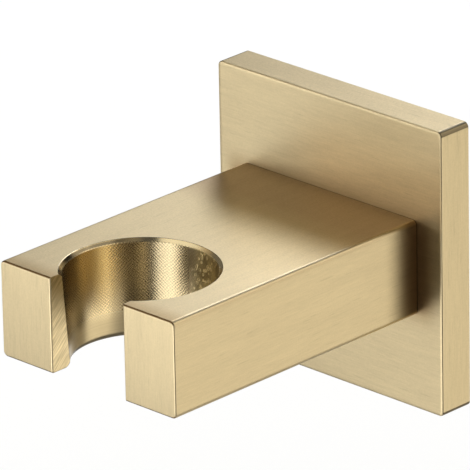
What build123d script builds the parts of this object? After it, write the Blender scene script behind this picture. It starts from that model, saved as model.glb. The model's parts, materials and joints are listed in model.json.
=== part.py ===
"""A square wall-fixed hand shower holder: a brass block with a conical cradle, on a square cover plate.

Millimetres, +Z up. The origin is the middle of the back, in the plane of the wall, so the wall is
the plane y = 0 and everything stands out from it towards -Y. A plane XZ.offset(d) lies d in front
of the wall, looks away from it, and has +X to the right and +Z up.
"""
from build123d import *
import os
from math import sqrt

os.makedirs("parts", exist_ok=True)

# Cover plate
plate_side = 50.0
plate_depth = 6.5
plate_corner_radius = 0.9  # on the four edges that run front to back
plate_edge_radius = 0.25  # round the front face, which is left crisp
rim_width = 4.0  # wall round the hollow back

# Arm
arm_width = 39.0
arm_height = 16.7
arm_reach = 56.4  # in front of the cover plate
arm_edge_radius = 0.9  # on the four edges that run front to back
arm_end_radius = 0.3  # round the end faces of the two prongs

# Cradle for the hand shower's conical neck
bore_top_diameter = 25.2
bore_narrowing = 2.0  # how much less the cone measures across at the bottom
bore_top_chamfer = 0.6
bore_rim_radius = 0.15  # where the chamfer meets the arm's top
bore_bottom_edge_radius = 1.0  # the wide rounding underneath
slot_width = 16.3  # lets the hose through
cheek_length = 1.92  # side of the slot, from the bore's rim to the arm's front face
cheek_edge_radius = 0.2  # where the slot's two sides meet the bore

# Countersunk screws that hold the arm from inside the cover plate
arm_screw_diameter = 4.0
arm_screw_head_diameter = 8.0
arm_screw_length = 14.0
arm_screw_socket = 2.5  # across flats
arm_screw_socket_depth = 1.4
arm_screw_inset = 8.5  # from the arm's side to a screw's axis
screw_neck = 0.5  # wall left under each countersunk head

# Bracket that is screwed to the wall first
bracket_clearance = 0.25  # all round, inside the cover plate
bracket_front_gap = 0.4
bracket_land = 0.4  # square edge in front of the bevel
bevel_tip_radius = 0.5  # corner radius left at the back of the bevel
wall_hole_diameter = 4.5
wall_countersink_diameter = 8.8
wall_hole_inset = 4.55  # from a hole's axis to the edge of the flat back, inside the bevel

# Cone-point grub screw that draws the cover plate onto the bracket
grub_diameter = 3.0
grub_length = 4.0
grub_point_diameter = 0.6  # flat at the tip of the cone
grub_socket = 1.5  # across flats
grub_socket_depth = 1.6
grub_floor_gap = 0.3  # between the screw's flank and the floor of the hollow
grub_seat_gap = 0.05  # square to the bevel

thread_clearance = 0.05
head_clearance = 0.05
drill_tip = 1.5  # depth of the tapped holes past the screws' ends

# Worked out from the sizes above
plate_half = plate_side / 2
head_height = (arm_screw_head_diameter - arm_screw_diameter) / 2  # a 90 degree cone
front_wall = head_height + screw_neck
pocket_depth = plate_depth - front_wall
pocket_side = plate_side - 2 * rim_width
bracket_side = pocket_side - 2 * bracket_clearance
bracket_thickness = pocket_depth - bracket_front_gap
bracket_bevel = bracket_thickness - bracket_land
bracket_corner_radius = bracket_bevel + bevel_tip_radius
pocket_corner_radius = bracket_corner_radius + bracket_clearance
wall_hole_spacing = bracket_side - 2 * (bracket_bevel + wall_hole_inset)
arm_screw_spacing = arm_width - 2 * arm_screw_inset
arm_front = plate_depth + arm_reach
bore_top_radius = bore_top_diameter / 2
bore_bottom_radius = bore_top_radius - bore_narrowing / 2
bore_rim = bore_top_radius + bore_top_chamfer  # radius of the chamfer's outer edge
bore_setback = sqrt(bore_rim**2 - (slot_width / 2) ** 2) + cheek_length
bore_from_wall = arm_front - bore_setback
grub_from_wall = pocket_depth - grub_floor_gap - grub_diameter / 2
# The bevel is the 45 degree line that leaves the bracket's edge at the depth of the bevel. The
# screw's cone is as steep, so the two faces lie along each other.
bevel_at_grub = -bracket_side / 2 + bracket_bevel - grub_from_wall
cone_apex = bevel_at_grub - grub_seat_gap * sqrt(2)
grub_tip = cone_apex - grub_point_diameter / 2
grub_end = grub_tip - grub_length
grub_cone = (grub_diameter - grub_point_diameter) / 2

arm_screw_places = GridLocations(arm_screw_spacing, 0, 2, 1)

# Arm: one block, rounded along its length, with the conical bore and the slot cut through it and
# two tapped holes in its back end.
with BuildPart() as holder_arm:
    with BuildSketch(Plane.XZ.offset(plate_depth)):
        Rectangle(arm_width, arm_height)
    extrude(amount=arm_reach)
    fillet(holder_arm.edges().filter_by(Axis.Y), radius=arm_edge_radius)

    # The bore is turned in one go, a chamfered mouth and the cone under it, and its rims are eased.
    top, bottom = arm_height / 2, -arm_height / 2
    with BuildSketch(Plane.XZ.offset(bore_from_wall)):
        with BuildLine():
            Polyline(
                (0, top),
                (bore_rim, top),
                (bore_top_radius, top - bore_top_chamfer),
                (bore_bottom_radius, bottom),
                (0, bottom),
                close=True,
            )
        make_face()
    revolve(axis=Axis((0, -bore_from_wall, 0), (0, 0, 1)), mode=Mode.SUBTRACT)
    bore_rims = holder_arm.edges(Select.LAST).filter_by(GeomType.CIRCLE).sort_by(Axis.Z)
    fillet(bore_rims[0], radius=bore_bottom_edge_radius)
    fillet(holder_arm.edges().filter_by(GeomType.CIRCLE).sort_by(Axis.Z)[-1], radius=bore_rim_radius)

    # The slot runs from the bore's axis out through the front face. The two edges that it leaves
    # on the bore's wall are the new upright ones farthest from the front.
    with BuildSketch(Plane.XZ.offset(bore_from_wall)):
        Rectangle(slot_width, arm_height)
    extrude(amount=bore_setback, mode=Mode.SUBTRACT)
    upright_edges = holder_arm.edges(Select.LAST).filter_by(lambda e: abs(e.center().Z) < arm_height / 4)
    fillet(upright_edges.sort_by(Axis.Y)[-2:], radius=cheek_edge_radius)

    fillet(holder_arm.faces().filter_by(Axis.Y).sort_by(Axis.Y)[:2].edges(), radius=arm_end_radius)

    with BuildSketch(Plane.XZ.offset(plate_depth)):
        with arm_screw_places:
            Circle(arm_screw_diameter / 2 + thread_clearance)
    extrude(amount=arm_screw_length - front_wall + drill_tip, mode=Mode.SUBTRACT)

# Cover plate: square and hollow behind, countersunk inside for the arm's screws and tapped from
# below for the grub screw.
with BuildPart() as cover_plate:
    with BuildSketch(Plane.XZ):
        Rectangle(plate_side, plate_side)
    extrude(amount=plate_depth)
    fillet(cover_plate.edges().filter_by(Axis.Y), radius=plate_corner_radius)
    fillet(cover_plate.faces().sort_by(Axis.Y)[0].edges(), radius=plate_edge_radius)

    with BuildSketch(Plane.XZ):
        RectangleRounded(pocket_side, pocket_side, pocket_corner_radius)
    extrude(amount=pocket_depth, mode=Mode.SUBTRACT)

    with BuildSketch(Plane.XZ.offset(pocket_depth)):
        with arm_screw_places:
            Circle(arm_screw_head_diameter / 2 + head_clearance)
    extrude(amount=head_height, taper=45, mode=Mode.SUBTRACT)
    with BuildSketch(Plane.XZ.offset(pocket_depth)):
        with arm_screw_places:
            Circle(arm_screw_diameter / 2 + head_clearance)
    extrude(amount=front_wall, mode=Mode.SUBTRACT)

    with BuildSketch(Plane.XY.offset(-plate_half)):
        with Locations((0, -grub_from_wall)):
            Circle(grub_diameter / 2 + thread_clearance)
    extrude(amount=plate_half + cone_apex, mode=Mode.SUBTRACT)

# Two countersunk screws, their heads flush with the floor of the hollow
with BuildPart() as arm_screws:
    with BuildSketch(Plane.XZ.offset(pocket_depth)):
        with arm_screw_places:
            Circle(arm_screw_head_diameter / 2)
    extrude(amount=head_height, taper=45)
    with BuildSketch(Plane.XZ.offset(pocket_depth)):
        with arm_screw_places:
            Circle(arm_screw_diameter / 2)
    extrude(amount=arm_screw_length)
    with BuildSketch(Plane.XZ.offset(pocket_depth)):
        with arm_screw_places:
            RegularPolygon(arm_screw_socket / 2, 6, major_radius=False)
    extrude(amount=arm_screw_socket_depth, mode=Mode.SUBTRACT)

# Wall bracket: a flat square whose edges are undercut all round, with two countersunk holes
with BuildPart() as wall_bracket:
    with BuildSketch(Plane.XZ):
        RectangleRounded(bracket_side, bracket_side, bracket_corner_radius)
    extrude(amount=bracket_thickness)
    chamfer(wall_bracket.faces().sort_by(Axis.Y)[-1].edges(), length=bracket_bevel)
    with Locations(Plane.XZ.offset(bracket_thickness)):
        with GridLocations(wall_hole_spacing, 0, 2, 1):
            CounterSinkHole(wall_hole_diameter / 2, wall_countersink_diameter / 2, counter_sink_angle=90)

# Grub screw, point up, its cone behind the bracket's bevel
with BuildPart() as grub_screw:
    grub_centre = Location((0, -grub_from_wall))
    with BuildSketch(Plane.XY.offset(grub_end)):
        with Locations(grub_centre):
            Circle(grub_diameter / 2)
    extrude(amount=grub_length)
    chamfer(grub_screw.faces().sort_by(Axis.Z)[-1].edges(), length=grub_cone)
    with BuildSketch(Plane.XY.offset(grub_end)):
        with Locations(grub_centre):
            RegularPolygon(grub_socket / 2, 6, major_radius=False)
    extrude(amount=grub_socket_depth, mode=Mode.SUBTRACT)

holder_arm.part.label = "holder_arm"
cover_plate.part.label = "cover_plate"
arm_screws.part.label = "arm_screws"
wall_bracket.part.label = "wall_bracket"
grub_screw.part.label = "grub_screw"

export_step(holder_arm.part, "parts/holder_arm.step")
export_step(cover_plate.part, "parts/cover_plate.step")
export_step(arm_screws.part, "parts/arm_screws.step")
export_step(wall_bracket.part, "parts/wall_bracket.step")
export_step(grub_screw.part, "parts/grub_screw.step")
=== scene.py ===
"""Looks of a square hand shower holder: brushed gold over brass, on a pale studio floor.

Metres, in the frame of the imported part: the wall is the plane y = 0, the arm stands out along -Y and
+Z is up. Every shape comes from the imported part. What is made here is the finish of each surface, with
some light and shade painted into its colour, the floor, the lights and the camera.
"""
import json
import math
from types import SimpleNamespace

import bpy
from bpy.props import FloatProperty, FloatVectorProperty, PointerProperty
from mathutils import Matrix, Vector


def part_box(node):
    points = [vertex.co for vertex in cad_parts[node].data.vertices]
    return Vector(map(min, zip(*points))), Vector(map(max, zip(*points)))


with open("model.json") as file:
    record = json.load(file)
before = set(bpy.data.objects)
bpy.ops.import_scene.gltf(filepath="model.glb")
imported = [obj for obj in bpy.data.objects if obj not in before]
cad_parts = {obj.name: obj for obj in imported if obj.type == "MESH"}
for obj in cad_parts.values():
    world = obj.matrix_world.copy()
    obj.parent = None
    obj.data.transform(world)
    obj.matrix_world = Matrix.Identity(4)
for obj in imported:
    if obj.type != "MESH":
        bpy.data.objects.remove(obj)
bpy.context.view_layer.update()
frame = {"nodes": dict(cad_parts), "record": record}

bl_info = {
    "name": "Hand Shower Holder",
    "version": (1, 0, 0),
    "blender": (4, 5, 0),
    "location": "View3D > Sidebar > Shower Holder",
    "description": "Finishes a square hand shower holder and sets it in a small studio",
    "category": "Object",
}

MM = 0.001
TURN = 2 * math.pi
WHITE = (1, 1, 1)

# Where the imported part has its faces
ARM_LOW, ARM_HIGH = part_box("holder_arm")
PLATE_LOW, PLATE_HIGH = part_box("cover_plate")
PLATE_FRONT, PLATE_HALF = PLATE_LOW[1], PLATE_HIGH[0]
PLATE_CORNER = 0.9 * MM  # radius of its corners
CRADLE = Vector(next(m["pos_m"] for m in frame["record"]["mounts"] if m["name"] == "hand_shower_cradle"))
CRADLE_AXIS = (CRADLE.x, CRADLE.y, 0)
BORE_RADIUS = 12.1 * MM  # halfway down the cone
BORE_LIMIT = 12.72 * MM  # the cone and the rounding under it lie within this of the axis
BORE_SHADE_TOP, BORE_SHADE_BOTTOM = -7.2 * MM, -7.6 * MM  # painted shade: the bore darkens from here to here, into the rounding under it
RING_LIMIT = 13.4 * MM  # the chamfered ring round the bore's mouth lies within this of the axis
RING_BRIGHT = 13.08 * MM  # from here out, the ring's edge is burnished
RING_BOTTOM = 7.7 * MM
SATIN_TOP, SATIN_BOTTOM = -3.2 * MM, -5.6 * MM  # where the bore's dimpled part ends
CHEEK_LIMIT = 8.35 * MM  # the slot's two sides lie within this of the middle
CHEEK_BACK = CRADLE.y - 7.5 * MM

# How much of a surface's normal has to lie along an axis for the surface to face that way
FACING = 0.7
FACING_SQUARELY = 0.9

# Colour factors on the coat's red, green and blue: the first is painted light, the next four painted shade,
# the last a stain
OVER_ARM_PAINTED_LIGHT = (1.18, 1.1, 1.02)
CORNER_PAINTED_SHADE = (0.62, 0.52, 0.45)
ARM_TOP_PAINTED_SHADE = (0.68, 0.62, 0.62)
FRONT_TOP_PAINTED_SHADE = (0.76, 0.69, 0.6)
FRONT_EDGE_PAINTED_SHADE = (0.3, 0.22, 0.16)
BUBBLED_TINT = (0.63, 0.59, 0.46)

# Threads of the screws, and what of each has no thread
M4_PITCH, M3_PITCH = 0.7 * MM, 0.5 * MM
HEAD_RADIUS, HEAD_AND_NECK = 4 * MM, 2.2 * MM
GRUB_CONE_HEIGHT = 1.2 * MM

# The photograph's frame and camera
IMAGE_SIDE = 470  # pixels
FOCAL_PIXELS = 7011.4
CENTRE_X, CENTRE_Y = 233.3, 233.0  # pixels, where the line of sight meets the picture
SENSOR_WIDTH = 36.0
CAMERA_YAW, CAMERA_PITCH, CAMERA_ROLL = 44.35, 22.40, -1.12  # degrees
CAMERA_DISTANCE, CAMERA_ASIDE, CAMERA_ABOVE = 1157.6 * MM, -20.4 * MM, -1.07 * MM
CAMERA_CLIP = (0.1, 20)

# The studio
FLOOR_SIDE = 8
TENT_BRIGHTNESS = 1.1
CARDS_LOOK_AT = Vector((0, -30 * MM, 0))

# Soft boxes and cards round the holder, seen in the metal alone: name, the way from the holder to the
# middle of the card as azimuth (0 front, 90 right) and elevation, how far off it stands, how wide and
# high it looks from the holder (all degrees and metres; no height makes a disc), and how bright its
# face is against white paper, in red, green and blue.
CARDS = (
    # High behind on the left, mirrored by the tops
    ("back_left_box", -143, 35, 1.2, 14.2, 0, (2.7, 2.7, 2.7)),
    ("back_left_near", -141, 26, 1.1, 18, 0, (1.25, 1.25, 1.25)),
    ("back_left_skirt", -157, 33, 1.1, 30, 0, (1.6, 1.74, 2.1)),
    # Low in front, mirrored by the front faces
    ("front_low_left", -43, 0, 0.6, 35, 19, (3.3, 3.3, 3.3)),
    ("front_low_right", -8, 0, 0.6, 33, 19, (1.95, 1.95, 1.95)),
    ("front_sheet_left", -26, -22, 0.6, 14, 22, (3.3, 3.3, 3.3)),
    ("front_sheet_right", 1, -22, 0.6, 38, 22, (2.05, 2.05, 2.05)),
    ("left_front_sheet", -47, -25, 0.6, 32, 28, (0.52, 0.52, 0.52)),
    ("under_sheet", 0, -90, 0.6, 80, 0, (0.45, 0.45, 0.45)),
    # Low behind on the right, mirrored by the right sides
    ("right_back_sheet", 119, -22, 0.7, 46, 24, (1.56, 1.5, 1.37)),
    ("back_sheet", 152, -22, 0.7, 20, 24, (0.2, 0.19, 0.17)),
    ("back_floor_sheet", 176, -44, 0.6, 60, 26, (0.35, 0.33, 0.29)),
    # Level and high, mirrored by the bore, the ring round it and the rounded edges
    ("right_card", 125, 14, 0.7, 26, 48, (0.92, 0.85, 0.76)),
    ("right_back_card", 148, 18, 0.7, 20, 42, (0.45, 0.42, 0.38)),
    ("front_upper", -46, 27, 0.8, 44, 28, (0.26, 0.25, 0.24)),
    ("left_upper", -76, 35, 0.8, 22, 16, (0.5, 0.42, 0.3)),
    ("left_top_box", -100, 46, 0.8, 34, 18, (0.12, 0.09, 0.06)),
    ("right_top_box", 122, 53, 0.8, 34, 20, (0.88, 0.83, 0.76)),
    ("right_back_top", 153, 39, 0.8, 24, 20, (0.95, 0.88, 0.78)),
    ("top_card", 80, 65, 0.8, 32, 20, (0.3, 0.27, 0.22)),
    ("front_top_left", -40, 55, 0.8, 44, 28, (1.3, 1.28, 1.2)),
    ("front_top_right", 0, 60, 0.8, 34, 30, (0.12, 0.12, 0.12)),
    # Fill, mirrored mostly towards the other sides
    ("left_card", -100, 12, 0.8, 60, 30, (0.2, 0.19, 0.17)),
    ("left_sheet", -118, -22, 0.7, 84, 30, (0.9, 0.88, 0.84)),
    ("camera_side", 58, 0, 0.7, 74, 70, (0.02, 0.02, 0.02)),
    ("camera_sheet", 85, -22, 0.7, 26, 24, (0.8, 0.78, 0.74)),
    ("camera_floor_sheet", 44, -58, 0.7, 46, 24, (0.3, 0.29, 0.27)),
    ("back_low", -170, -18, 0.7, 36, 28, (0.9, 0.88, 0.84)),
    ("camera_upper", 85, 24, 0.8, 50, 26, (0.7, 0.68, 0.64)),
    ("top_back_box", 180, 72, 0.8, 50, 26, (0.3, 0.29, 0.27)),
    ("front_floor_sheet", -5, -62, 0.7, 60, 24, (0.6, 0.58, 0.54)),
    ("front_right_upper", 24, 26, 0.8, 46, 22, (0.5, 0.49, 0.46)),
)

# Settings that many nodes share
ADD = {"operation": "ADD"}
SUBTRACT = {"operation": "SUBTRACT"}
MULTIPLY = {"operation": "MULTIPLY"}
MULTIPLY_ADD = {"operation": "MULTIPLY_ADD"}
SCALE = {"operation": "SCALE"}
ABSOLUTE = {"operation": "ABSOLUTE"}
LENGTH = {"operation": "LENGTH"}
NORMALIZE = {"operation": "NORMALIZE"}
LESS_THAN = {"operation": "LESS_THAN"}
GREATER_THAN = {"operation": "GREATER_THAN"}
SMOOTH = {"interpolation_type": "SMOOTHSTEP"}
MIX_NUMBERS = {"data_type": "FLOAT"}
MIX_VECTORS = {"data_type": "VECTOR"}
ONE_WAY = {"noise_dimensions": "1D"}


def linear(hex_colour):
    """The linear red, green and blue of an sRGB hex colour."""
    channels = [int(hex_colour[i:i + 2], 16) / 255 for i in (1, 3, 5)]
    return [c / 12.92 if c <= 0.04045 else ((c + 0.055) / 1.055) ** 2.4 for c in channels]


class HolderFinish(bpy.types.PropertyGroup):
    """Colours and grain of the metal"""

    gold: FloatVectorProperty(
        name="Gold", description="Colour of the gold coating", subtype="COLOR", size=3, min=0, max=1,
        default=linear("#D3C199"))
    brass: FloatVectorProperty(
        name="Brass", description="Colour of the bare brass", subtype="COLOR", size=3, min=0, max=1,
        default=linear("#D0B06A"))
    steel: FloatVectorProperty(
        name="Steel", description="Colour of the stainless steel", subtype="COLOR", size=3, min=0, max=1,
        default=linear("#C4C2BD"))
    line_width: FloatProperty(
        name="Line width", description="Width of a brush line", default=0.22 * MM, min=0.02 * MM,
        subtype="DISTANCE", unit="LENGTH")
    line_length: FloatProperty(
        name="Line length", description="Length of a brush line", default=3 * MM, min=0.5 * MM,
        subtype="DISTANCE", unit="LENGTH")
    dimple_pitch: FloatProperty(
        name="Dimple pitch", description="Distance between the dimples in the bore", default=0.4 * MM,
        min=0.1 * MM, subtype="DISTANCE", unit="LENGTH")


class HolderStage(bpy.types.PropertyGroup):
    """Floor and lights round the holder"""

    floor_height: FloatProperty(
        name="Floor height", description="Height of the floor, measured from the holder's middle",
        default=-85 * MM, subtype="DISTANCE", unit="LENGTH")
    floor_colour: FloatVectorProperty(
        name="Floor colour", description="Colour of the floor", subtype="COLOR", size=3, min=0, max=1,
        default=linear("#F6F6F5"))
    light: FloatProperty(
        name="Light", description="Strength of all the soft boxes and cards together", default=1.0, min=0,
        subtype="FACTOR")


def add_node(tree, kind, settings=None, inputs=None):
    """Adds one node with its settings, and sets or links its inputs. An input that is given a node is
    linked to the first output that the node has in use."""
    made = tree.nodes.new(kind)
    for name, value in (settings or {}).items():
        setattr(made, name, value)
    for name, value in (inputs or {}).items():
        if isinstance(value, bpy.types.Node):
            value = next(socket for socket in value.outputs if socket.enabled)
        if isinstance(value, bpy.types.NodeSocket):
            tree.links.new(value, made.inputs[name])
        else:
            made.inputs[name].default_value = value
    return made


def new_material(name):
    material = bpy.data.materials.new(name)
    material.use_nodes = True
    material.node_tree.nodes.clear()
    return material, material.node_tree


def dress(node, material):
    for slot in frame["nodes"][node].material_slots:
        slot.material = material


def place_on_part(tree):
    """Where a surface lies and how it is turned: the place, its three parts, and how much the surface
    looks along X, Y and Z, each from 0 to 1."""
    where = add_node(tree, "ShaderNodeTexCoord")
    place = where.outputs["Object"]
    parts = add_node(tree, "ShaderNodeSeparateXYZ", inputs={0: place})
    turned = add_node(tree, "ShaderNodeVectorMath", ABSOLUTE, {0: where.outputs["Normal"]})
    looks = add_node(tree, "ShaderNodeSeparateXYZ", inputs={0: turned})
    return place, parts.outputs, looks.outputs


def brush_lines(tree, finish, place, looks, runs):
    """Brush lines that run another way on each face. runs gives the axis that they run along on faces
    that look sideways, to the front and up. Returns the fine lines, the bands they lie in, the few
    deep scratches among them, and the way across them."""
    scales, ways = [], []
    for outward, run in zip("XYZ", runs):
        scales.append(tuple(
            1 / (finish.line_length if axis == run else finish.line_width) for axis in "XYZ"))
        ways.append(tuple(float(axis not in (outward, run)) for axis in "XYZ"))
    sideways = add_node(tree, "ShaderNodeMath", GREATER_THAN, {0: looks[0], 1: FACING})
    frontways = add_node(tree, "ShaderNodeMath", GREATER_THAN, {0: looks[1], 1: FACING})
    picked = []
    for side, front, top in (scales, ways):
        flat = add_node(tree, "ShaderNodeMix", MIX_VECTORS, {0: frontways, 4: top, 5: front})
        picked.append(add_node(tree, "ShaderNodeMix", MIX_VECTORS, {0: sideways, 4: flat, 5: side}))
    scale, across = picked
    stretched = add_node(tree, "ShaderNodeVectorMath", MULTIPLY, {0: place, 1: scale})
    fine = add_node(tree, "ShaderNodeTexNoise", inputs={
        "Vector": stretched, "Scale": 1.0, "Detail": 3.0, "Roughness": 0.6})
    bands = add_node(tree, "ShaderNodeTexNoise", inputs={
        "Vector": stretched, "Scale": 0.22, "Detail": 2.0, "Roughness": 0.5})
    streaks = add_node(tree, "ShaderNodeTexNoise", inputs={
        "Vector": stretched, "Scale": 0.61, "Detail": 1.0, "Roughness": 0.5})
    scratches = add_node(tree, "ShaderNodeMapRange", SMOOTH, {
        "Value": streaks, "From Min": 0.66, "From Max": 0.76})
    return SimpleNamespace(fine=fine, bands=bands, scratches=scratches, across=across)


def tinted(tree, marks):
    """One factor on the coat's colour from several tints, painted light and shade as well as
    stains, each given as where it lies and its tint.
    """
    factor = WHITE
    for where, tint in marks:
        tint_factor = add_node(tree, "ShaderNodeMix", MIX_VECTORS, {0: where, 4: WHITE, 5: tint})
        factor = add_node(tree, "ShaderNodeVectorMath", MULTIPLY, {0: factor, 1: tint_factor})
    return factor


def finish_gold(tree, finish, place, looks, lines, crown, shade, tint_factor, others=()):
    """The gold itself: how light, how rough and how deep its lines are. crown leans the surface where
    it isn't flat, shade darkens it with painted shade, and the colour factor tints it with painted light
    and shade and with stains. Each of others is a surface with a finish of its own: where it is, its
    light, roughness and height, and the way across its lines."""
    # A buffed edge is a little smoother than the faces, so it holds a brighter line.
    squarest = add_node(tree, "ShaderNodeMath", {"operation": "MAXIMUM"}, {
        0: looks[2], 1: add_node(tree, "ShaderNodeMath", {"operation": "MAXIMUM"}, {
            0: looks[0], 1: looks[1]})})
    edge = add_node(tree, "ShaderNodeMapRange", SMOOTH, {
        "Value": squarest, "From Min": 0.995, "From Max": 0.95})
    # The coat comes out slightly uneven over about a centimetre.
    cloud = add_node(tree, "ShaderNodeTexNoise", inputs={
        "Vector": place, "Scale": 1 / (12 * MM), "Detail": 2.0, "Roughness": 0.5})
    # Speckle left by the last polish, really finer than 0.05 mm, drawn at 0.3 mm to show.
    speck = add_node(tree, "ShaderNodeTexNoise", inputs={
        "Vector": place, "Scale": 1 / (0.3 * MM), "Detail": 1.0, "Roughness": 0.5})
    speckle = add_node(tree, "ShaderNodeMath", SUBTRACT, {0: speck, 1: 0.3})

    # On top, where the hand that polishes goes both ways, the lines are fainter and the speckle shows.
    line_depth = add_node(tree, "ShaderNodeMapRange", inputs={
        "Value": looks[2], "From Min": 0.6, "From Max": 0.8, "To Min": 0.24, "To Max": 0.12})
    speckle_depth = add_node(tree, "ShaderNodeMapRange", inputs={
        "Value": looks[2], "From Min": 0.6, "From Max": 0.8, "To Min": 0.12, "To Max": 0.3})
    centred = add_node(tree, "ShaderNodeMath", SUBTRACT, {0: lines.fine, 1: 0.5})
    light = 0.85
    for pattern, depth in ((centred, line_depth), (lines.bands, 0.14), (cloud, 0.04),
                           (lines.scratches, -0.1), (speckle, speckle_depth)):
        light = add_node(tree, "ShaderNodeMath", MULTIPLY_ADD, {0: pattern, 1: depth, 2: light})
    # Painted shade darkens the light here.
    light = add_node(tree, "ShaderNodeMath", MULTIPLY, {0: light, 1: shade})
    # Painted highlight: the edges are a little lighter, so that they hold brighter lines.
    light = add_node(tree, "ShaderNodeMath", MULTIPLY_ADD, {0: edge, 1: 0.12, 2: light})

    roughness = add_node(tree, "ShaderNodeMath", MULTIPLY_ADD, {0: lines.fine, 1: 0.06, 2: 0.335})
    roughness = add_node(tree, "ShaderNodeMath", MULTIPLY_ADD, {0: cloud, 1: 0.03, 2: roughness})
    roughness = add_node(tree, "ShaderNodeMix", MIX_NUMBERS, {0: edge, 2: roughness, 3: 0.3})
    height = add_node(tree, "ShaderNodeMath", MULTIPLY_ADD, {
        0: lines.scratches, 1: -0.006 * MM, 2: add_node(tree, "ShaderNodeMath", MULTIPLY, {
            0: lines.fine, 1: 0.004 * MM})})
    across = lines.across
    for mask, own_light, own_roughness, own_height, own_across in others:
        light = add_node(tree, "ShaderNodeMix", MIX_NUMBERS, {0: mask, 2: light, 3: own_light})
        roughness = add_node(tree, "ShaderNodeMix", MIX_NUMBERS, {
            0: mask, 2: roughness, 3: own_roughness})
        height = add_node(tree, "ShaderNodeMix", MIX_NUMBERS, {0: mask, 2: height, 3: own_height})
        across = add_node(tree, "ShaderNodeMix", MIX_VECTORS, {0: mask, 4: across, 5: own_across})

    # Painted light and shade, and stains, tint the colour here.
    colour = add_node(tree, "ShaderNodeVectorMath", MULTIPLY, {1: tint_factor, 0: add_node(
        tree, "ShaderNodeVectorMath", SCALE, {0: tuple(finish.gold), "Scale": light})})
    bump = add_node(tree, "ShaderNodeBump", inputs={"Strength": 1.0, "Distance": 1.0, "Height": height})
    normal = add_node(tree, "ShaderNodeVectorMath", NORMALIZE, {
        0: add_node(tree, "ShaderNodeVectorMath", ADD, {0: bump, 1: crown})})
    shader = add_node(tree, "ShaderNodeBsdfPrincipled", inputs={
        "Base Color": colour, "Metallic": 1.0, "Roughness": roughness, "Anisotropic": 0.4,
        "Tangent": across, "Normal": normal})
    add_node(tree, "ShaderNodeOutputMaterial", inputs={"Surface": shader})


def buffed_rim(tree, place, from_middle, facing):
    """The buffing wheel rolls the rim of the plate's front face over, from 0.7 mm inside its edge. The
    four short corner edges are painted darker, a painted shade. Returns how the rim leans and how light
    the corners are."""
    rim_start, rim_end, rim_lean = 0.7 * MM, 0.15 * MM, 0.22
    inner = PLATE_HALF - PLATE_CORNER
    # How far past the middles of the rounded corners a place lies, whatever its depth.
    past = add_node(tree, "ShaderNodeVectorMath", SUBTRACT, {0: from_middle, 1: (inner, 1, inner)})
    past = add_node(tree, "ShaderNodeVectorMath", {"operation": "MAXIMUM"}, {0: past, 1: (0, 0, 0)})
    rim = add_node(tree, "ShaderNodeMapRange", SMOOTH, {
        "Value": add_node(tree, "ShaderNodeVectorMath", LENGTH, {0: past}).outputs["Value"],
        "From Min": PLATE_CORNER - rim_start, "From Max": PLATE_CORNER - rim_end, "To Max": rim_lean})
    rolled = add_node(tree, "ShaderNodeMath", MULTIPLY, {0: rim, 1: facing})
    outward = add_node(tree, "ShaderNodeVectorMath", MULTIPLY, {
        0: add_node(tree, "ShaderNodeVectorMath", NORMALIZE, {0: past}),
        1: add_node(tree, "ShaderNodeVectorMath", {"operation": "SIGN"}, {0: place})})
    # The wheel runs level, so it bites less along the upper and lower edges.
    outward = add_node(tree, "ShaderNodeVectorMath", MULTIPLY, {0: outward, 1: (1, 0, 0.4)})
    crown = add_node(tree, "ShaderNodeVectorMath", SCALE, {0: outward, "Scale": rolled})

    past_parts = add_node(tree, "ShaderNodeSeparateXYZ", inputs={0: past}).outputs
    nearer = add_node(tree, "ShaderNodeMath", {"operation": "MINIMUM"}, {
        0: past_parts["X"], 1: past_parts["Z"]})
    # Painted shade on the four short corner edges.
    corner = add_node(tree, "ShaderNodeMapRange", SMOOTH, {
        "Value": nearer, "From Min": 0.02 * MM, "From Max": 0.15 * MM})
    not_facing = add_node(tree, "ShaderNodeMath", SUBTRACT, {0: 1.0, 1: facing})
    painted_dark_corner = add_node(tree, "ShaderNodeMath", MULTIPLY, {0: corner, 1: not_facing})
    shade = add_node(tree, "ShaderNodeMath", MULTIPLY_ADD, {0: painted_dark_corner, 1: -0.65, 2: 1.0})
    return crown, shade


def plate_painted_light_and_shade(tree, parts, from_middle, facing):
    """Painted light: the plate is a little redder and lighter over the arm, where it mirrors the arm's
    top. Painted shade: it is browner and darker beside the arm."""
    distances = add_node(tree, "ShaderNodeSeparateXYZ", inputs={0: from_middle}).outputs
    over_arm = beside = facing
    for part, start, end in (("Z", 24 * MM, 12 * MM), ("Z", 5 * MM, 11 * MM), ("X", -12 * MM, 3 * MM)):
        over_arm = add_node(tree, "ShaderNodeMath", MULTIPLY, {
            0: over_arm, 1: add_node(tree, "ShaderNodeMapRange", SMOOTH, {
                "Value": parts[part], "From Min": start, "From Max": end})})
    for part, start, end in (("X", ARM_HIGH[0] + 5 * MM, ARM_HIGH[0] + 1 * MM),
                             ("Z", ARM_HIGH[2] + 3 * MM, ARM_HIGH[2] - 3 * MM)):
        beside = add_node(tree, "ShaderNodeMath", MULTIPLY, {
            0: beside, 1: add_node(tree, "ShaderNodeMapRange", SMOOTH, {
                "Value": distances[part], "From Min": start, "From Max": end})})
    # Painted light over the arm, painted shade beside it.
    return tinted(tree, ((over_arm, OVER_ARM_PAINTED_LIGHT), (beside, CORNER_PAINTED_SHADE)))


def brushed_gold_plate(finish):
    """Brass, ground on a belt and coated pale gold in a vacuum. The grinding lines, level on the front
    and upright on the sides, spread each reflection across them, so that the eye gets soft broad
    patches of light and a fine grain. The coating is so thin that every line shows through it."""
    material, tree = new_material("brushed_gold_plate")
    place, parts, looks = place_on_part(tree)
    lines = brush_lines(tree, finish, place, looks, "ZXX")
    from_middle = add_node(tree, "ShaderNodeVectorMath", ABSOLUTE, {0: place})
    facing = add_node(tree, "ShaderNodeMath", GREATER_THAN, {0: looks[1], 1: FACING})
    crown, shade = buffed_rim(tree, place, from_middle, facing)
    tint_factor = plate_painted_light_and_shade(tree, parts, from_middle, facing)
    finish_gold(tree, finish, place, looks, lines, crown, shade, tint_factor)
    return material


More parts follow.
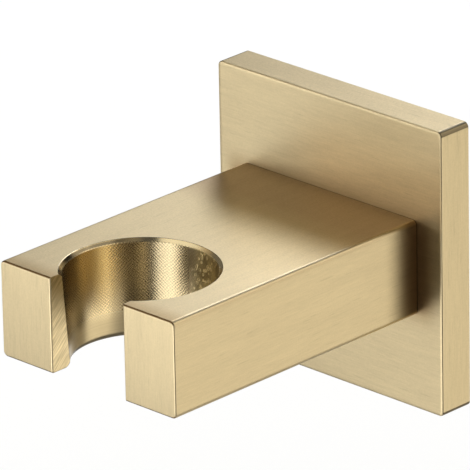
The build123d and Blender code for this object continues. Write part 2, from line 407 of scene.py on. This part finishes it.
def round_cradle(tree, place, parts):
    """Where a place lies round the cradle's axis: its level offset and the parts of that, how far off
    it is and at what angle, how far round the bore that makes, and the bore unrolled flat."""
    from_axis = add_node(tree, "ShaderNodeVectorMath", SUBTRACT, {0: place, 1: CRADLE_AXIS})
    level = add_node(tree, "ShaderNodeVectorMath", MULTIPLY, {0: from_axis, 1: (1, 1, 0)})
    radius = add_node(tree, "ShaderNodeVectorMath", LENGTH, {0: level}).outputs["Value"]
    offsets = add_node(tree, "ShaderNodeSeparateXYZ", inputs={0: from_axis}).outputs
    angle = add_node(tree, "ShaderNodeMath", {"operation": "ARCTAN2"}, {0: offsets["Y"], 1: offsets["X"]})
    arc = add_node(tree, "ShaderNodeMath", MULTIPLY, {0: angle, 1: BORE_RADIUS})
    unrolled = add_node(tree, "ShaderNodeCombineXYZ", inputs={0: arc, 1: parts["Z"]})
    return SimpleNamespace(
        level=level, x=offsets["X"], y=offsets["Y"], radius=radius, angle=angle, arc=arc, unrolled=unrolled)


def bubbled_coat(tree, spot):
    """Bubbles about half a millimetre across, where the coat ran together on the bore's side towards
    the wall. Their rims are higher than their middles and are painted lighter too, a painted highlight,
    so each shows as a small bright ring. Returns the patch that they lie in, and the rims."""
    patch = add_node(tree, "ShaderNodeMapRange", SMOOTH, {
        "Value": spot.angle, "From Min": math.radians(99), "From Max": math.radians(84)})
    patch_end = add_node(tree, "ShaderNodeMapRange", SMOOTH, {
        "Value": spot.angle, "From Min": math.radians(25), "From Max": math.radians(60)})
    patch = add_node(tree, "ShaderNodeMath", MULTIPLY, {0: patch, 1: patch_end})
    cells = add_node(tree, "ShaderNodeTexVoronoi", {"feature": "F1"}, {
        "Vector": spot.unrolled, "Scale": 1 / (0.75 * MM), "Randomness": 1.0}).outputs
    from_rim = add_node(tree, "ShaderNodeMath", ABSOLUTE, {
        0: add_node(tree, "ShaderNodeMath", SUBTRACT, {0: cells["Distance"], 1: 0.28})})
    rims = add_node(tree, "ShaderNodeMapRange", SMOOTH, {
        "Value": from_rim, "From Min": 0.16, "From Max": 0.04})
    # One cell in five holds no bubble.
    filled = add_node(tree, "ShaderNodeMath", GREATER_THAN, {
        0: add_node(tree, "ShaderNodeSeparateXYZ", inputs={0: cells["Color"]}), 1: 0.2})
    rims = add_node(tree, "ShaderNodeMath", MULTIPLY, {
        0: rims, 1: add_node(tree, "ShaderNodeMath", MULTIPLY, {0: patch, 1: filled})})
    return patch, rims


def bore_coat(tree, spot, patch, wander):
    """How light the bore is: darker beside the slot, a painted shade, brighter at the left wall, and
    blotched where the coat bubbled."""
    flat = add_node(tree, "ShaderNodeMapRange", SMOOTH, {
        "Value": spot.y, "From Min": 1 * MM, "From Max": -3 * MM, "To Min": 1.0, "To Max": 0.42})
    square = add_node(tree, "ShaderNodeMapRange", SMOOTH, {
        "Value": spot.x, "From Min": -9.5 * MM, "From Max": -11.4 * MM, "To Min": 1.0, "To Max": 1.15})
    blotches = add_node(tree, "ShaderNodeMapRange", inputs={
        "Value": wander, "From Min": 0.3, "From Max": 0.7, "To Min": -0.15, "To Max": 0.3})
    blotched = add_node(tree, "ShaderNodeMath", MULTIPLY_ADD, {0: patch, 1: blotches, 2: square})
    return add_node(tree, "ShaderNodeMath", MULTIPLY, {0: blotched, 1: flat})


def reamed_bore(tree, finish, parts, spot, patch, bubbles):
    """A reamer has left the bore bright, with small dimples in slanting rows down to a dull turned band
    at the bottom. Returns its light, roughness and height."""
    # A wave round the bore times one up it makes the slanting rows. The real dimples are about 0.33 mm
    # apart, a little too close to show at this size.
    wander = add_node(tree, "ShaderNodeTexNoise", inputs={
        "Vector": spot.unrolled, "Scale": 1 / (1.6 * MM), "Detail": 1.0})
    shift = add_node(tree, "ShaderNodeMath", MULTIPLY, {0: wander, 1: 6.0})
    waves = []
    for along in (spot.arc, parts["Z"]):
        phase = add_node(tree, "ShaderNodeMath", MULTIPLY_ADD, {
            0: along, 1: TURN / (finish.dimple_pitch * math.sqrt(2)), 2: shift})
        waves.append(add_node(tree, "ShaderNodeMath", {"operation": "SINE"}, {0: phase}))
    dimples = add_node(tree, "ShaderNodeMath", MULTIPLY, {0: waves[0], 1: waves[1]})
    # The turned lines of the dull band are 0.3 mm apart.
    turned = add_node(tree, "ShaderNodeTexNoise", ONE_WAY, {
        "W": parts["Z"], "Scale": 1 / (0.15 * MM), "Detail": 2.0})
    satin = add_node(tree, "ShaderNodeMapRange", SMOOTH, {
        "Value": parts["Z"], "From Min": SATIN_TOP, "From Max": SATIN_BOTTOM})

    # Painted highlight: the bubbles' rims are lighter.
    light = add_node(tree, "ShaderNodeMath", MULTIPLY_ADD, {0: bubbles, 1: 0.6, 2: 1.0})
    light = add_node(tree, "ShaderNodeMath", MULTIPLY_ADD, {0: dimples, 1: 0.13, 2: light})
    light = add_node(tree, "ShaderNodeMath", MULTIPLY, {
        0: light, 1: bore_coat(tree, spot, patch, wander)})
    # Painted shade: the dull band darkens beside the slot too.
    satin_light = add_node(tree, "ShaderNodeMath", MULTIPLY, {
        0: add_node(tree, "ShaderNodeMath", MULTIPLY_ADD, {0: turned, 1: 0.3, 2: 0.85}),
        1: add_node(tree, "ShaderNodeMapRange", SMOOTH, {
            "Value": spot.y, "From Min": -2 * MM, "From Max": -5 * MM, "To Min": 1.0, "To Max": 0.45})})
    light = add_node(tree, "ShaderNodeMix", MIX_NUMBERS, {0: satin, 2: light, 3: satin_light})
    # Painted shade: the bore darkens down into the rounding under it.
    light = add_node(tree, "ShaderNodeMath", MULTIPLY, {
        0: light, 1: add_node(tree, "ShaderNodeMapRange", SMOOTH, {
            "Value": parts["Z"], "From Min": BORE_SHADE_TOP, "From Max": BORE_SHADE_BOTTOM,
            "To Min": 1.0, "To Max": 0.35})})

    roughness = add_node(tree, "ShaderNodeMix", MIX_NUMBERS, {0: patch, 2: 0.26, 3: 0.36})
    roughness = add_node(tree, "ShaderNodeMix", MIX_NUMBERS, {0: satin, 2: roughness, 3: 0.36})
    bubble_height = add_node(tree, "ShaderNodeMath", MULTIPLY, {0: bubbles, 1: 0.03 * MM})
    height = add_node(tree, "ShaderNodeMix", MIX_NUMBERS, {
        0: satin,
        2: add_node(tree, "ShaderNodeMath", MULTIPLY_ADD, {0: dimples, 1: 0.005 * MM, 2: bubble_height}),
        3: add_node(tree, "ShaderNodeMath", MULTIPLY, {0: turned, 1: 0.004 * MM})})
    return light, roughness, height


def bore_ring(tree, parts, looks, spot):
    """The chamfered ring round the bore's mouth is darker at the bore's two sides, but its outer edge
    is burnished bright all round. Returns where it is, and its light."""
    within = add_node(tree, "ShaderNodeMath", LESS_THAN, {0: spot.radius, 1: RING_LIMIT})
    slanted = add_node(tree, "ShaderNodeMath", LESS_THAN, {0: looks[2], 1: 0.98})
    high = add_node(tree, "ShaderNodeMath", GREATER_THAN, {0: parts["Z"], 1: RING_BOTTOM})
    ring = add_node(tree, "ShaderNodeMath", MULTIPLY, {
        0: high, 1: add_node(tree, "ShaderNodeMath", MULTIPLY, {0: within, 1: slanted})})
    aside = add_node(tree, "ShaderNodeMath", ABSOLUTE, {0: parts["X"]})
    darker = add_node(tree, "ShaderNodeMapRange", SMOOTH, {
        "Value": aside, "From Min": 9.8 * MM, "From Max": 11.6 * MM, "To Min": 0.0, "To Max": -0.52})
    inner = add_node(tree, "ShaderNodeMath", LESS_THAN, {0: spot.radius, 1: RING_BRIGHT})
    light = add_node(tree, "ShaderNodeMath", MULTIPLY_ADD, {0: darker, 1: inner, 2: 1.0})
    return ring, light


def slot_sides(tree, place, parts, looks):
    """The slot's two sides keep scratches that slant from front top to back bottom, 0.3 mm apart. They
    were cut from below, so the scratches are darker towards the top. Returns where the sides are, their
    light and their height."""
    slant = add_node(tree, "ShaderNodeMapping", {"vector_type": "TEXTURE"}, {
        "Vector": place, "Rotation": (math.radians(45), 0, 0), "Scale": (1, 5 * MM, 0.3 * MM)})
    scratches = add_node(tree, "ShaderNodeTexNoise", inputs={
        "Vector": slant, "Scale": 1.0, "Detail": 2.0, "Roughness": 0.6})
    aside = add_node(tree, "ShaderNodeMath", ABSOLUTE, {0: parts["X"]})
    near_middle = add_node(tree, "ShaderNodeMath", LESS_THAN, {0: aside, 1: CHEEK_LIMIT})
    in_front = add_node(tree, "ShaderNodeMath", LESS_THAN, {0: parts["Y"], 1: CHEEK_BACK})
    upright = add_node(tree, "ShaderNodeMath", GREATER_THAN, {0: looks[0], 1: FACING_SQUARELY})
    sides = add_node(tree, "ShaderNodeMath", MULTIPLY, {
        0: upright, 1: add_node(tree, "ShaderNodeMath", MULTIPLY, {0: near_middle, 1: in_front})})
    upper = add_node(tree, "ShaderNodeMapRange", SMOOTH, {
        "Value": parts["Z"], "From Min": -1 * MM, "From Max": 6 * MM, "To Min": 1.0, "To Max": 0.74})
    light = add_node(tree, "ShaderNodeMath", MULTIPLY, {
        0: upper, 1: add_node(tree, "ShaderNodeMath", MULTIPLY_ADD, {0: scratches, 1: 1.5, 2: 0.25})})
    height = add_node(tree, "ShaderNodeMath", MULTIPLY, {0: scratches, 1: 0.05 * MM})
    return sides, light, height


def arm_crown(tree, parts, looks, spot, bore, patch):
    """How the arm leans where it isn't quite true. Its front ends are ground last and by hand, which
    leaves them a little crowned, and the bore is a little out of round where its coat bubbled."""
    end = add_node(tree, "ShaderNodeMath", MULTIPLY, {
        0: add_node(tree, "ShaderNodeMath", LESS_THAN, {0: parts["Y"], 1: ARM_LOW[1] + 0.3 * MM}),
        1: add_node(tree, "ShaderNodeMath", GREATER_THAN, {0: looks[1], 1: FACING})})
    lean = add_node(tree, "ShaderNodeMath", MULTIPLY, {0: parts["Z"], 1: 6.8})
    crowned = add_node(tree, "ShaderNodeCombineXYZ", inputs={
        2: add_node(tree, "ShaderNodeMath", MULTIPLY, {0: end, 1: lean})})
    round_way = add_node(tree, "ShaderNodeVectorMath", {"operation": "CROSS_PRODUCT"}, {
        0: add_node(tree, "ShaderNodeVectorMath", NORMALIZE, {0: spot.level}), 1: (0, 0, 1)})
    turned_by = add_node(tree, "ShaderNodeMath", MULTIPLY, {
        0: bore, 1: add_node(tree, "ShaderNodeMath", MULTIPLY, {0: patch, 1: 0.12})})
    return add_node(tree, "ShaderNodeVectorMath", ADD, {
        0: crowned, 1: add_node(tree, "ShaderNodeVectorMath", SCALE, {0: round_way, "Scale": turned_by})})


def arm_painted_shade_and_stain(tree, parts, looks, bore, patch):
    """Painted shade: the arm is browner and darker near the plate, on top towards the front edge and on
    that rounded edge itself. It is browner too where the coat bubbled in the bore, a stain."""
    upward = add_node(tree, "ShaderNodeMath", GREATER_THAN, {0: looks[2], 1: FACING_SQUARELY})
    not_upward = add_node(tree, "ShaderNodeMath", SUBTRACT, {0: 1.0, 1: upward})
    on_edge = add_node(tree, "ShaderNodeMapRange", SMOOTH, {
        "Value": add_node(tree, "ShaderNodeMath", MULTIPLY, {0: looks[1], 1: looks[2]}),
        "From Min": 0.1, "From Max": 0.35})
    near_plate, in_corner, near_front = (
        add_node(tree, "ShaderNodeMapRange", SMOOTH, {
            "Value": parts["Y"], "From Min": start, "From Max": end})
        for start, end in ((PLATE_FRONT - 19 * MM, PLATE_FRONT - 9 * MM),
                           (PLATE_FRONT - 5 * MM, PLATE_FRONT - 1 * MM),
                           (ARM_LOW[1] + 4.5 * MM, ARM_LOW[1] + 0.2 * MM)))
    # The first four are painted shade, the last a stain.
    return tinted(tree, (
        (add_node(tree, "ShaderNodeMath", MULTIPLY, {0: first, 1: second}), tint)
        for first, second, tint in (
            (near_plate, upward, ARM_TOP_PAINTED_SHADE), (in_corner, not_upward, CORNER_PAINTED_SHADE),
            (near_front, upward, FRONT_TOP_PAINTED_SHADE), (near_front, on_edge, FRONT_EDGE_PAINTED_SHADE),
            (bore, patch, BUBBLED_TINT))))


def brushed_gold_arm(finish):
    """The plate's finish, with its lines along the arm and upright on its two ends. The bore isn't
    brushed but reamed, and it mirrors itself, which deepens the gold and shows every dimple. The
    slot's sides keep slanting scratches."""
    material, tree = new_material("brushed_gold_arm")
    place, parts, looks = place_on_part(tree)
    lines = brush_lines(tree, finish, place, looks, "YZY")
    spot = round_cradle(tree, place, parts)
    bore = add_node(tree, "ShaderNodeMath", LESS_THAN, {0: spot.radius, 1: BORE_LIMIT})
    patch, bubbles = bubbled_coat(tree, spot)
    bore_light, bore_roughness, bore_height = reamed_bore(tree, finish, parts, spot, patch, bubbles)
    ring, ring_light = bore_ring(tree, parts, looks, spot)
    sides, side_light, side_height = slot_sides(tree, place, parts, looks)
    # A hair line of shadow where the arm stands on the plate.
    shade = add_node(tree, "ShaderNodeMapRange", SMOOTH, {
        "Value": parts["Y"], "From Min": PLATE_FRONT - 0.22 * MM, "From Max": PLATE_FRONT - 0.05 * MM,
        "To Min": 1.0, "To Max": 0.35})
    finish_gold(
        tree, finish, place, looks, lines, arm_crown(tree, parts, looks, spot, bore, patch), shade,
        arm_painted_shade_and_stain(tree, parts, looks, bore, patch), (
            (ring, ring_light, 0.2, 0.0, (0, 0, 1)),
            (bore, bore_light, bore_roughness, bore_height, (0, 0, 1)),
            (sides, side_light, 0.3, side_height, (0, 0.7, -0.7))))
    return material


def milled_brass(finish):
    """Bare brass, milled with a face cutter and never polished, since nobody sees it. The cutter's
    arcs catch the light in narrow curved bands, and the metal has dulled unevenly to a warmer yellow."""
    material, tree = new_material("milled_brass")
    place = place_on_part(tree)[0]
    # Arcs 0.8 mm apart, the feed of a cutter that came in from below.
    feed, cutter_centre = 0.8 * MM, (18 * MM, 0, -58 * MM)
    from_centre = add_node(tree, "ShaderNodeVectorMath", SUBTRACT, {0: place, 1: cutter_centre})
    reach = add_node(tree, "ShaderNodeVectorMath", LENGTH, {
        0: add_node(tree, "ShaderNodeVectorMath", MULTIPLY, {0: from_centre, 1: (1, 0, 1)})}).outputs["Value"]
    arcs = add_node(tree, "ShaderNodeMath", {"operation": "PINGPONG"}, {0: reach, 1: feed / 2})
    grain = add_node(tree, "ShaderNodeTexNoise", ONE_WAY, {
        "W": reach, "Scale": 1 / (0.12 * MM), "Detail": 2.0})
    tarnish = add_node(tree, "ShaderNodeTexNoise", inputs={
        "Vector": place, "Scale": 1 / (9 * MM), "Detail": 4.0, "Roughness": 0.6})
    light = add_node(tree, "ShaderNodeMath", MULTIPLY_ADD, {0: tarnish, 1: 0.35, 2: 0.75})
    light = add_node(tree, "ShaderNodeMath", MULTIPLY_ADD, {0: grain, 1: 0.1, 2: light})
    colour = add_node(tree, "ShaderNodeVectorMath", SCALE, {0: tuple(finish.brass), "Scale": light})
    roughness = add_node(tree, "ShaderNodeMath", MULTIPLY_ADD, {0: tarnish, 1: -0.2, 2: 0.46})
    height = add_node(tree, "ShaderNodeMath", MULTIPLY_ADD, {
        0: arcs, 1: 0.03, 2: add_node(tree, "ShaderNodeMath", MULTIPLY, {0: grain, 1: 0.003 * MM})})
    bump = add_node(tree, "ShaderNodeBump", inputs={"Strength": 1.0, "Distance": 1.0, "Height": height})
    shader = add_node(tree, "ShaderNodeBsdfPrincipled", inputs={
        "Base Color": colour, "Metallic": 1.0, "Roughness": roughness, "Normal": bump})
    add_node(tree, "ShaderNodeOutputMaterial", inputs={"Surface": shader})
    return material


def turned_steel(name, finish, axis, pitch, centre, thread_start, thread_end):
    """Stainless steel, turned, with a rolled thread on the shank. The lathe's rings and the thread's
    flanks run round each screw's axis, so its light lies in narrow rings, grey and slightly warm."""
    material, tree = new_material(name)
    place, parts, _ = place_on_part(tree)
    along = parts[axis]
    # The screws lie evenly to both sides of the middle, so folding the place lays one on the other.
    folded = add_node(tree, "ShaderNodeVectorMath", ABSOLUTE, {0: place})
    off = add_node(tree, "ShaderNodeVectorMath", SUBTRACT, {0: folded, 1: centre})
    off_parts = add_node(tree, "ShaderNodeSeparateXYZ", inputs={0: off}).outputs
    angle = add_node(tree, "ShaderNodeMath", {"operation": "ARCTAN2"}, {
        0: off_parts["Z" if axis == "Y" else "Y"], 1: off_parts["X"]})
    helix = add_node(tree, "ShaderNodeMath", MULTIPLY_ADD, {0: angle, 1: pitch / TURN, 2: along})
    flank = add_node(tree, "ShaderNodeMath", {"operation": "PINGPONG"}, {0: helix, 1: pitch / 2})
    on_shank = add_node(tree, "ShaderNodeMath", MULTIPLY, {
        0: add_node(tree, "ShaderNodeMath", GREATER_THAN, {0: along, 1: thread_start}),
        1: add_node(tree, "ShaderNodeMath", LESS_THAN, {0: along, 1: thread_end})})
    thread = add_node(tree, "ShaderNodeMath", MULTIPLY, {0: flank, 1: on_shank})
    turned = add_node(tree, "ShaderNodeTexNoise", ONE_WAY, {
        "W": along, "Scale": 1 / (0.1 * MM), "Detail": 2.0})
    marks = add_node(tree, "ShaderNodeTexNoise", inputs={
        "Vector": place, "Scale": 1 / (2.5 * MM), "Detail": 3.0})
    light = add_node(tree, "ShaderNodeMath", MULTIPLY_ADD, {0: marks, 1: 0.15, 2: 0.88})
    light = add_node(tree, "ShaderNodeMath", MULTIPLY_ADD, {0: turned, 1: 0.08, 2: light})
    # The thread's bottoms are darker.
    light = add_node(tree, "ShaderNodeMath", MULTIPLY_ADD, {0: thread, 1: -0.3 / pitch, 2: light})
    colour = add_node(tree, "ShaderNodeVectorMath", SCALE, {0: tuple(finish.steel), "Scale": light})
    roughness = add_node(tree, "ShaderNodeMath", MULTIPLY_ADD, {0: marks, 1: 0.16, 2: 0.22})
    height = add_node(tree, "ShaderNodeMath", MULTIPLY_ADD, {
        0: thread, 1: -0.5, 2: add_node(tree, "ShaderNodeMath", MULTIPLY, {0: turned, 1: 0.002 * MM})})
    bump = add_node(tree, "ShaderNodeBump", inputs={"Strength": 1.0, "Distance": 1.0, "Height": height})
    shader = add_node(tree, "ShaderNodeBsdfPrincipled", inputs={
        "Base Color": colour, "Metallic": 1.0, "Roughness": roughness, "Normal": bump})
    add_node(tree, "ShaderNodeOutputMaterial", inputs={"Surface": shader})
    return material


class HOLDER_OT_arm(bpy.types.Operator):
    """Finishes the arm"""

    bl_idname = "holder.arm"
    bl_label = "Arm"

    def execute(self, context):
        dress("holder_arm", brushed_gold_arm(context.scene.holder_finish))
        return {"FINISHED"}


class HOLDER_OT_cover_plate(bpy.types.Operator):
    """Finishes the cover plate"""

    bl_idname = "holder.cover_plate"
    bl_label = "Cover Plate"

    def execute(self, context):
        dress("cover_plate", brushed_gold_plate(context.scene.holder_finish))
        return {"FINISHED"}


class HOLDER_OT_fixings(bpy.types.Operator):
    """Finishes the wall bracket and the screws"""

    bl_idname = "holder.fixings"
    bl_label = "Bracket and Screws"

    def execute(self, context):
        finish = context.scene.holder_finish
        dress("wall_bracket", milled_brass(finish))
        # The arm's screws lie along Y, with their heads at the back.
        low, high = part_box("arm_screws")
        dress("arm_screws", turned_steel(
            "turned_steel_arm_screws", finish, "Y", M4_PITCH, (high[0] - HEAD_RADIUS, 0, 0),
            low[1] - MM, high[1] - HEAD_AND_NECK))
        # The grub screw stands up, with its cone on top.
        low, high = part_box("grub_screw")
        dress("grub_screw", turned_steel(
            "turned_steel_grub_screw", finish, "Z", M3_PITCH, (0, -(low[1] + high[1]) / 2, 0),
            low[2] - MM, high[2] - GRUB_CONE_HEIGHT))
        return {"FINISHED"}


def direction(azimuth, elevation):
    """The way from the holder: azimuth 0 is to the front and 90 to the right, in degrees."""
    azimuth, elevation = math.radians(azimuth), math.radians(elevation)
    return Vector((math.sin(azimuth) * math.cos(elevation), -math.cos(azimuth) * math.cos(elevation),
                   math.sin(elevation)))


def card(name, azimuth, elevation, distance, width, height, brightness):
    """A soft box or a lit card, seen in the metal alone. Its power follows from how bright its face is."""
    light = bpy.data.lights.new(name, "AREA")
    light.shape = "RECTANGLE" if height else "DISK"
    light.size = 2 * distance * math.tan(math.radians(width) / 2)
    face = math.pi * light.size ** 2 / 4
    if height:
        light.size_y = 2 * distance * math.tan(math.radians(height) / 2)
        face = light.size * light.size_y
    brightest = max(brightness)
    light.color = [part / brightest for part in brightness]
    light.energy = brightest * math.pi * face * bpy.context.scene.holder_stage.light
    made = bpy.data.objects.new(name, light)
    bpy.context.scene.collection.objects.link(made)
    way = direction(azimuth, elevation)
    made.location = CARDS_LOOK_AT + way * distance
    made.rotation_mode = "QUATERNION"
    made.rotation_quaternion = way.to_track_quat("Z", "Y")
    made.visible_camera = made.visible_diffuse = False


def white_board(colour):
    """White board with a matt coat, which spreads the light evenly and gives a plain ground. From below
    it is clear, so that the holder's underside can be looked at."""
    material, tree = new_material("white_board")
    board = add_node(tree, "ShaderNodeBsdfDiffuse", inputs={"Color": (*colour, 1)})
    shown = add_node(tree, "ShaderNodeMixShader", inputs={
        0: add_node(tree, "ShaderNodeNewGeometry").outputs["Backfacing"], 1: board,
        2: add_node(tree, "ShaderNodeBsdfTransparent")})
    add_node(tree, "ShaderNodeOutputMaterial", inputs={"Surface": shown})
    return material


def photo_camera():
    """The camera at the photograph's angle, with the photograph's frame."""
    yaw, pitch, roll = (math.radians(angle) for angle in (CAMERA_YAW, CAMERA_PITCH, CAMERA_ROLL))
    back = direction(CAMERA_YAW, CAMERA_PITCH)
    right = Matrix.Rotation(roll, 3, back) @ Vector((math.cos(yaw), math.sin(yaw), 0))
    up = back.cross(right)
    data = bpy.data.cameras.new("camera")
    data.sensor_width = SENSOR_WIDTH
    data.lens = FOCAL_PIXELS / IMAGE_SIDE * SENSOR_WIDTH
    data.shift_x = (IMAGE_SIDE / 2 - CENTRE_X) / IMAGE_SIDE
    data.shift_y = (CENTRE_Y - IMAGE_SIDE / 2) / IMAGE_SIDE
    data.clip_start, data.clip_end = CAMERA_CLIP
    camera = bpy.data.objects.new("camera", data)
    camera.matrix_world = (
        Matrix.Translation(right * CAMERA_ASIDE + up * CAMERA_ABOVE + back * CAMERA_DISTANCE)
        @ Matrix((right, up, back)).transposed().to_4x4())
    return camera


class HOLDER_OT_stage(bpy.types.Operator):
    """Sets the floor, the lights and the camera"""

    bl_idname = "holder.stage"
    bl_label = "Stage"

    def execute(self, context):
        scene, stage = context.scene, context.scene.holder_stage
        bpy.ops.object.select_all(action="DESELECT")
        bpy.ops.mesh.primitive_plane_add(size=FLOOR_SIDE, location=(0, 0, stage.floor_height))
        floor = context.object
        floor.name = "floor"
        floor.data.materials.append(white_board(stage.floor_colour))
        floor.visible_glossy = floor.visible_shadow = False

        # A white tent lights the floor. The metal mirrors the cards alone.
        world = bpy.data.worlds.new("white_tent")
        world.use_nodes = True
        world.node_tree.nodes["Background"].inputs[0].default_value = (*[TENT_BRIGHTNESS] * 3, 1)
        world.cycles_visibility.glossy = False
        scene.world = world
        for values in CARDS:
            card(*values)

        scene.camera = photo_camera()
        scene.collection.objects.link(scene.camera)
        scene.view_settings.view_transform = "Standard"
        return {"FINISHED"}


OPERATORS = (HOLDER_OT_arm, HOLDER_OT_cover_plate, HOLDER_OT_fixings, HOLDER_OT_stage)


class HOLDER_PT_panel(bpy.types.Panel):
    """Sizes, colours and pieces of the shower holder"""

    bl_idname = "HOLDER_PT_panel"
    bl_label = "Shower Holder"
    bl_space_type = "VIEW_3D"
    bl_region_type = "UI"
    bl_category = "Shower Holder"

    def draw(self, context):
        for group in (context.scene.holder_finish, context.scene.holder_stage):
            for name in group.__annotations__:
                self.layout.prop(group, name)
        for operator in OPERATORS:
            self.layout.operator(operator.bl_idname)


CLASSES = (HolderFinish, HolderStage, *OPERATORS, HOLDER_PT_panel)


def register():
    for made in CLASSES:
        bpy.utils.register_class(made)
    bpy.types.Scene.holder_finish = PointerProperty(type=HolderFinish)
    bpy.types.Scene.holder_stage = PointerProperty(type=HolderStage)


def unregister():
    del bpy.types.Scene.holder_stage
    del bpy.types.Scene.holder_finish
    for made in reversed(CLASSES):
        bpy.utils.unregister_class(made)


def main():
    register()
    bpy.ops.holder.arm()
    bpy.ops.holder.cover_plate()
    bpy.ops.holder.fixings()
    bpy.ops.holder.stage()


if __name__ == "__main__":
    main()
